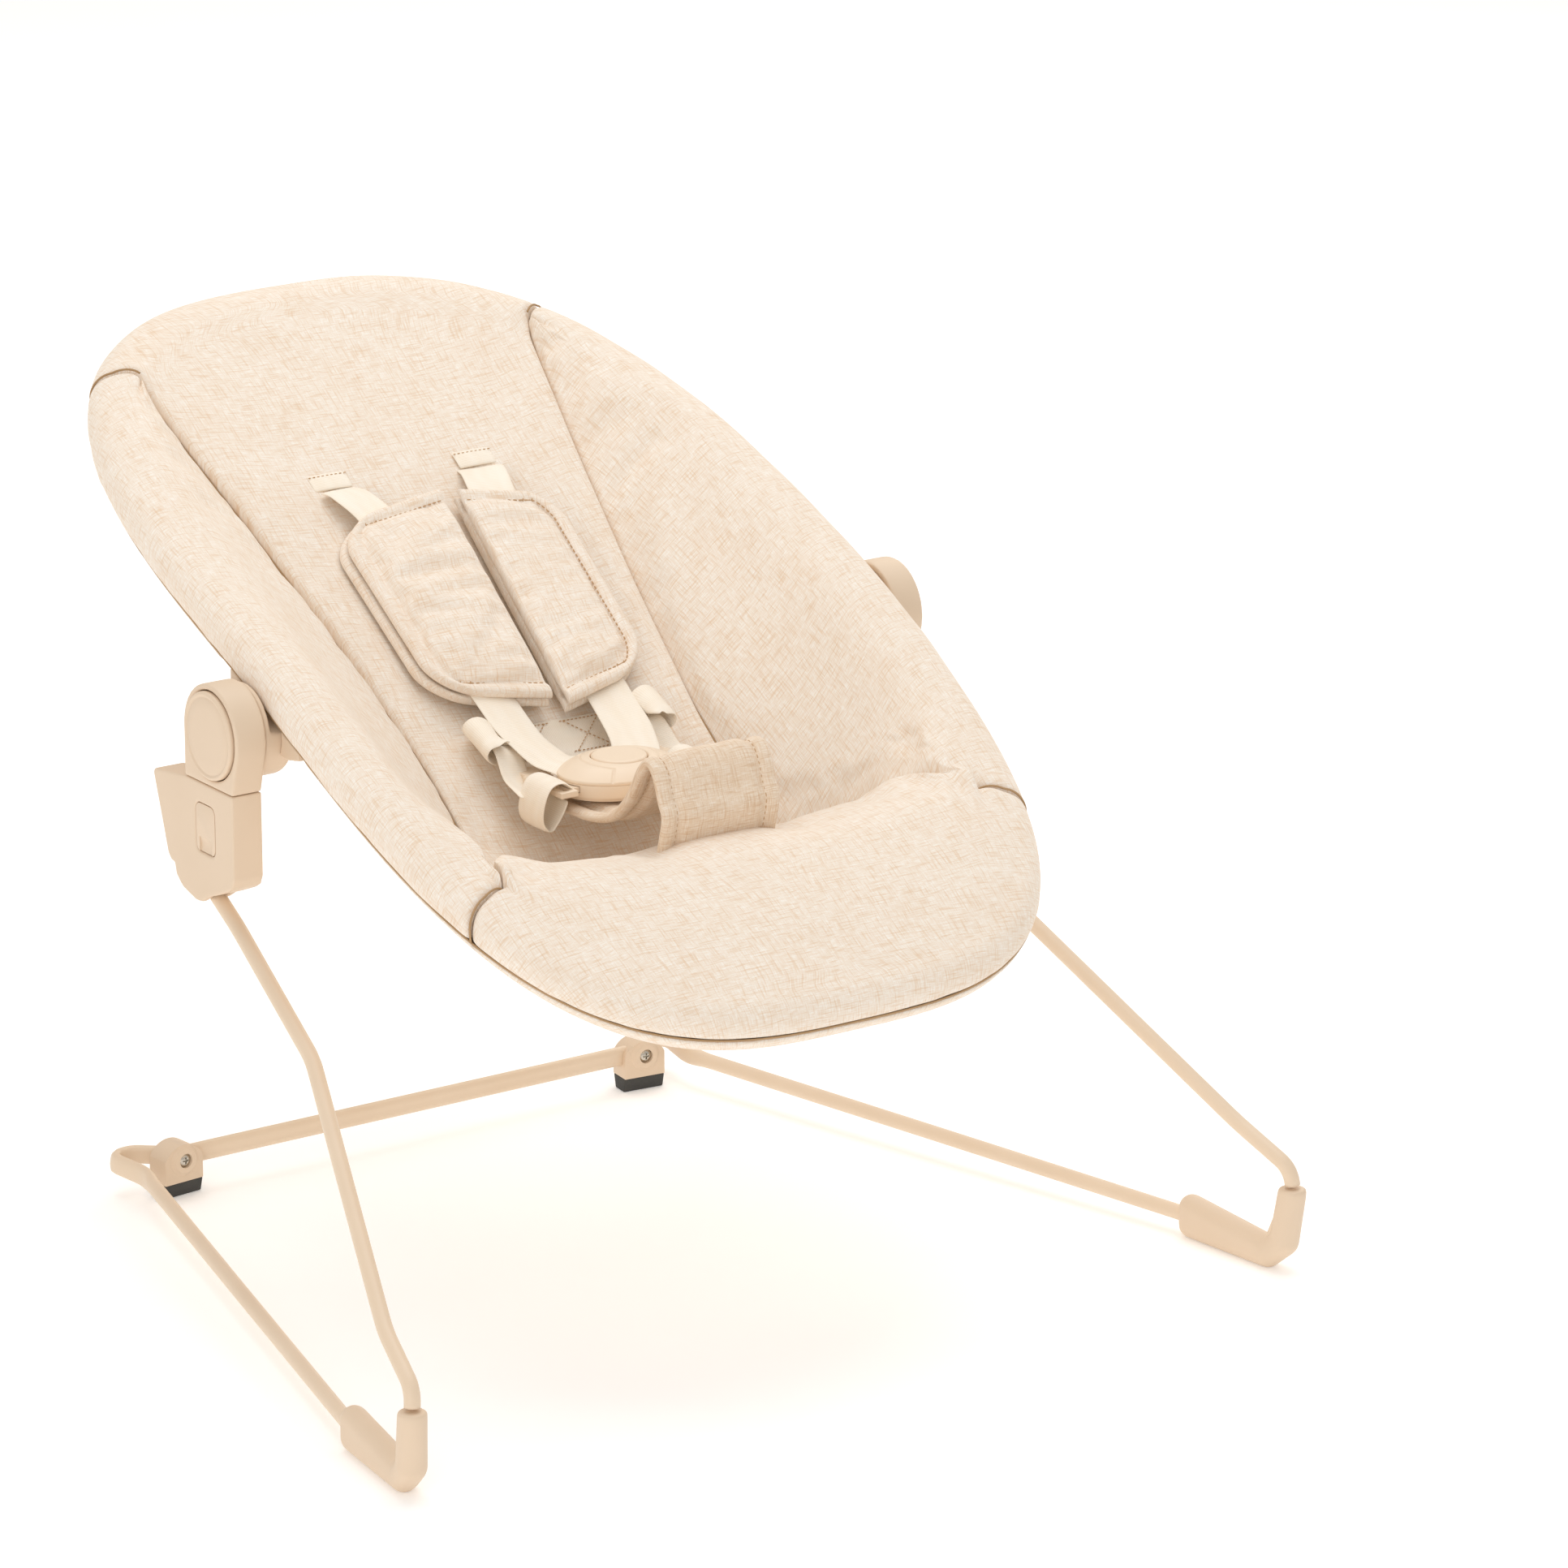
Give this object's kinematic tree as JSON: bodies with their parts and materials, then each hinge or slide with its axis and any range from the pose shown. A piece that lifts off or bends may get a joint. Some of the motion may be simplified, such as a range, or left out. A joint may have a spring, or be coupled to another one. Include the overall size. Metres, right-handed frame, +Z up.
{
  "type": "bouncer seat",
  "caption": "Reclining baby bouncer: a padded linen seat on a bent tube hoop, hinged on a springy open wire base, with a five-strap harness and a round centre buckle.",
  "frame": {"origin": "on the floor, under the middle of the bounding box", "axes": "+Z up, +Y towards the head end, +X to the right seen from the foot end"},
  "size_m": [0.5384, 0.5622, 0.4433],
  "materials": {
    "painted_wire": "satin powder coat",
    "hinge_plastic": "fine matt moulding",
    "rubber_foot": "matt",
    "nickel_steel": "nickel plate",
    "spring_steel": "bare spring wire",
    "linen_cloth": "melange linen weave",
    "ivory_webbing": "ribbed webbing with a slight sheen",
    "buckle_plastic": "satin"
  },
  "bodies": {
    "base": {"left_floor_runner": "painted_wire", "right_floor_runner": "painted_wire", "rear_crossbar": "painted_wire", "left_foot_bracket": "hinge_plastic", "right_foot_bracket": "hinge_plastic", "left_rubber_pad": "rubber_foot", "right_rubber_pad": "rubber_foot", "bracket_screws": "nickel_steel", "left_front_sleeve": "hinge_plastic", "right_front_sleeve": "hinge_plastic"},
    "legs": {"left_upper_leg": "painted_wire", "right_upper_leg": "painted_wire", "left_socket": "hinge_plastic", "right_socket": "hinge_plastic", "left_latch_spring": "spring_steel", "right_latch_spring": "spring_steel"},
    "left_release": {"left_release_button": "hinge_plastic"},
    "right_release": {"right_release_button": "hinge_plastic"},
    "arms": {"left_hinge_arm": "hinge_plastic", "right_hinge_arm": "hinge_plastic", "left_recline_spring": "spring_steel", "right_recline_spring": "spring_steel"},
    "left_recline": {"left_recline_button": "hinge_plastic"},
    "right_recline": {"right_recline_button": "hinge_plastic"},
    "buckle_press": {"buckle_button": "buckle_plastic"},
    "left_tongue": {"left_buckle_tongue": "buckle_plastic", "left_waist_loop": "ivory_webbing"},
    "right_tongue": {"right_buckle_tongue": "buckle_plastic", "right_waist_loop": "ivory_webbing"},
    "seat": {"left_hub_disc": "hinge_plastic", "right_hub_disc": "hinge_plastic", "left_seat_bracket": "hinge_plastic", "right_seat_bracket": "hinge_plastic", "bracket_rivets": "nickel_steel", "hoop_tube": "painted_wire", "back_panel": "linen_cloth", "left_side_wing": "linen_cloth", "right_side_wing": "linen_cloth", "leg_panel": "linen_cloth", "back_under_cover": "linen_cloth", "left_under_cover": "linen_cloth", "right_under_cover": "linen_cloth", "leg_under_cover": "linen_cloth", "slot_tapes": "ivory_webbing", "left_shoulder_strap": "ivory_webbing", "right_shoulder_strap": "ivory_webbing", "left_shoulder_pad": "linen_cloth", "right_shoulder_pad": "linen_cloth", "lap_tape": "ivory_webbing", "left_waist_strap": "ivory_webbing", "right_waist_strap": "ivory_webbing", "crotch_strap": "linen_cloth", "buckle_body": "buckle_plastic", "buckle_cover": "buckle_plastic", "buckle_spring": "spring_steel"}
  },
  "joints": [
    {"name": "bounce", "type": "hinge", "parent": "base", "child": "legs", "pos_m": [0, -0.274, 0.047], "axis": [1, 0, 0], "range_deg": [-6, 2], "stiffness_Nm_per_rad": 220, "springref_deg": 2.23},
    {"name": "left_release_press", "type": "slide", "parent": "legs", "child": "left_release", "axis": [1, 0, 0], "range_m": [0, 0.0012], "stiffness_N_per_m": 800, "springref_m": -0.002},
    {"name": "right_release_press", "type": "slide", "parent": "legs", "child": "right_release", "axis": [-1, 0, 0], "range_m": [0, 0.0012], "stiffness_N_per_m": 800, "springref_m": -0.002},
    {"name": "seat_lift_off", "type": "slide", "parent": "legs", "child": "arms", "axis": [0, 0, 1], "range_m": [0, 0.06]},
    {"name": "left_recline_press", "type": "slide", "parent": "arms", "child": "left_recline", "axis": [1, 0, 0], "range_m": [0, 0.003], "stiffness_N_per_m": 800, "springref_m": -0.002},
    {"name": "right_recline_press", "type": "slide", "parent": "arms", "child": "right_recline", "axis": [-1, 0, 0], "range_m": [0, 0.003], "stiffness_N_per_m": 800, "springref_m": -0.002},
    {"name": "recline", "type": "hinge", "parent": "arms", "child": "seat", "pos_m": [0, -0.0035, 0.298], "axis": [1, 0, 0], "range_deg": [-18, 0]},
    {"name": "buckle_press", "type": "slide", "parent": "seat", "child": "buckle_press", "axis": [0, 0, -1], "range_m": [0, 0.0025], "stiffness_N_per_m": 800, "springref_m": -0.002},
    {"name": "left_tongue_pull", "type": "slide", "parent": "seat", "child": "left_tongue", "axis": [-1, 0, 0], "range_m": [0, 0.025]},
    {"name": "right_tongue_pull", "type": "slide", "parent": "seat", "child": "right_tongue", "axis": [1, 0, 0], "range_m": [0, 0.025]}
  ]
}
